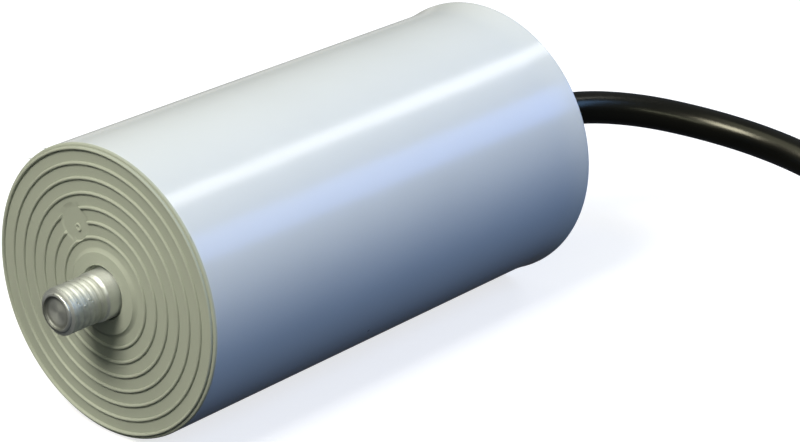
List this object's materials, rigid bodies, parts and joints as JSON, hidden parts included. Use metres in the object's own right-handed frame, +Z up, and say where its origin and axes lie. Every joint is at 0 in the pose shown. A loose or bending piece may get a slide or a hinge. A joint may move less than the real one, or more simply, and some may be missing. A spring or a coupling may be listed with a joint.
{
  "type": "motor run capacitor",
  "caption": "Cylindrical motor run capacitor in a moulded can, with a fixing stud at one end and a two-core cable at the other.",
  "frame": {"origin": "centre of the mounting face, the top of the boss round the stud", "axes": "+X along the can's axis from the stud end to the cable end, the stud points to -X, +Z up with the can lying on its side"},
  "size_m": [0.1532, 0.1466, 0.0506],
  "materials": {
    "can_plastic": "glossy light grey moulded plastic, matt on the ridged end",
    "stud_metal": "rolled aluminium thread, satin",
    "lid_plastic": "matt black plastic",
    "cable_sheath": "satin black PVC",
    "core_brown": "brown PVC insulation",
    "core_blue": "blue PVC insulation",
    "tinned_copper": "tinned copper strands",
    "film": "wound metallised film",
    "zinc_spray": "rough sprayed zinc",
    "core_plastic": "natural polypropylene",
    "board": "insulating board",
    "resin": "cast polyurethane resin",
    "solder": "soft solder"
  },
  "bodies": {
    "root": {"can": "can_plastic", "stud": "stud_metal", "lid": "lid_plastic", "insulating_disc": "board", "core_tube": "core_plastic", "film_winding": "film", "lower_spray": "zinc_spray", "upper_spray": "zinc_spray", "lower_lead": "core_blue", "upper_lead": "core_brown", "lower_wire": "tinned_copper", "upper_wire": "tinned_copper", "lower_solder": "solder", "upper_solder": "solder", "potting_resin": "resin", "cable_inner_end": "cable_sheath", "cable": "cable_sheath", "tail_brown": "core_brown", "tail_blue": "core_blue", "tinned_end_brown": "tinned_copper", "tinned_end_blue": "tinned_copper"}
  },
  "joints": []
}
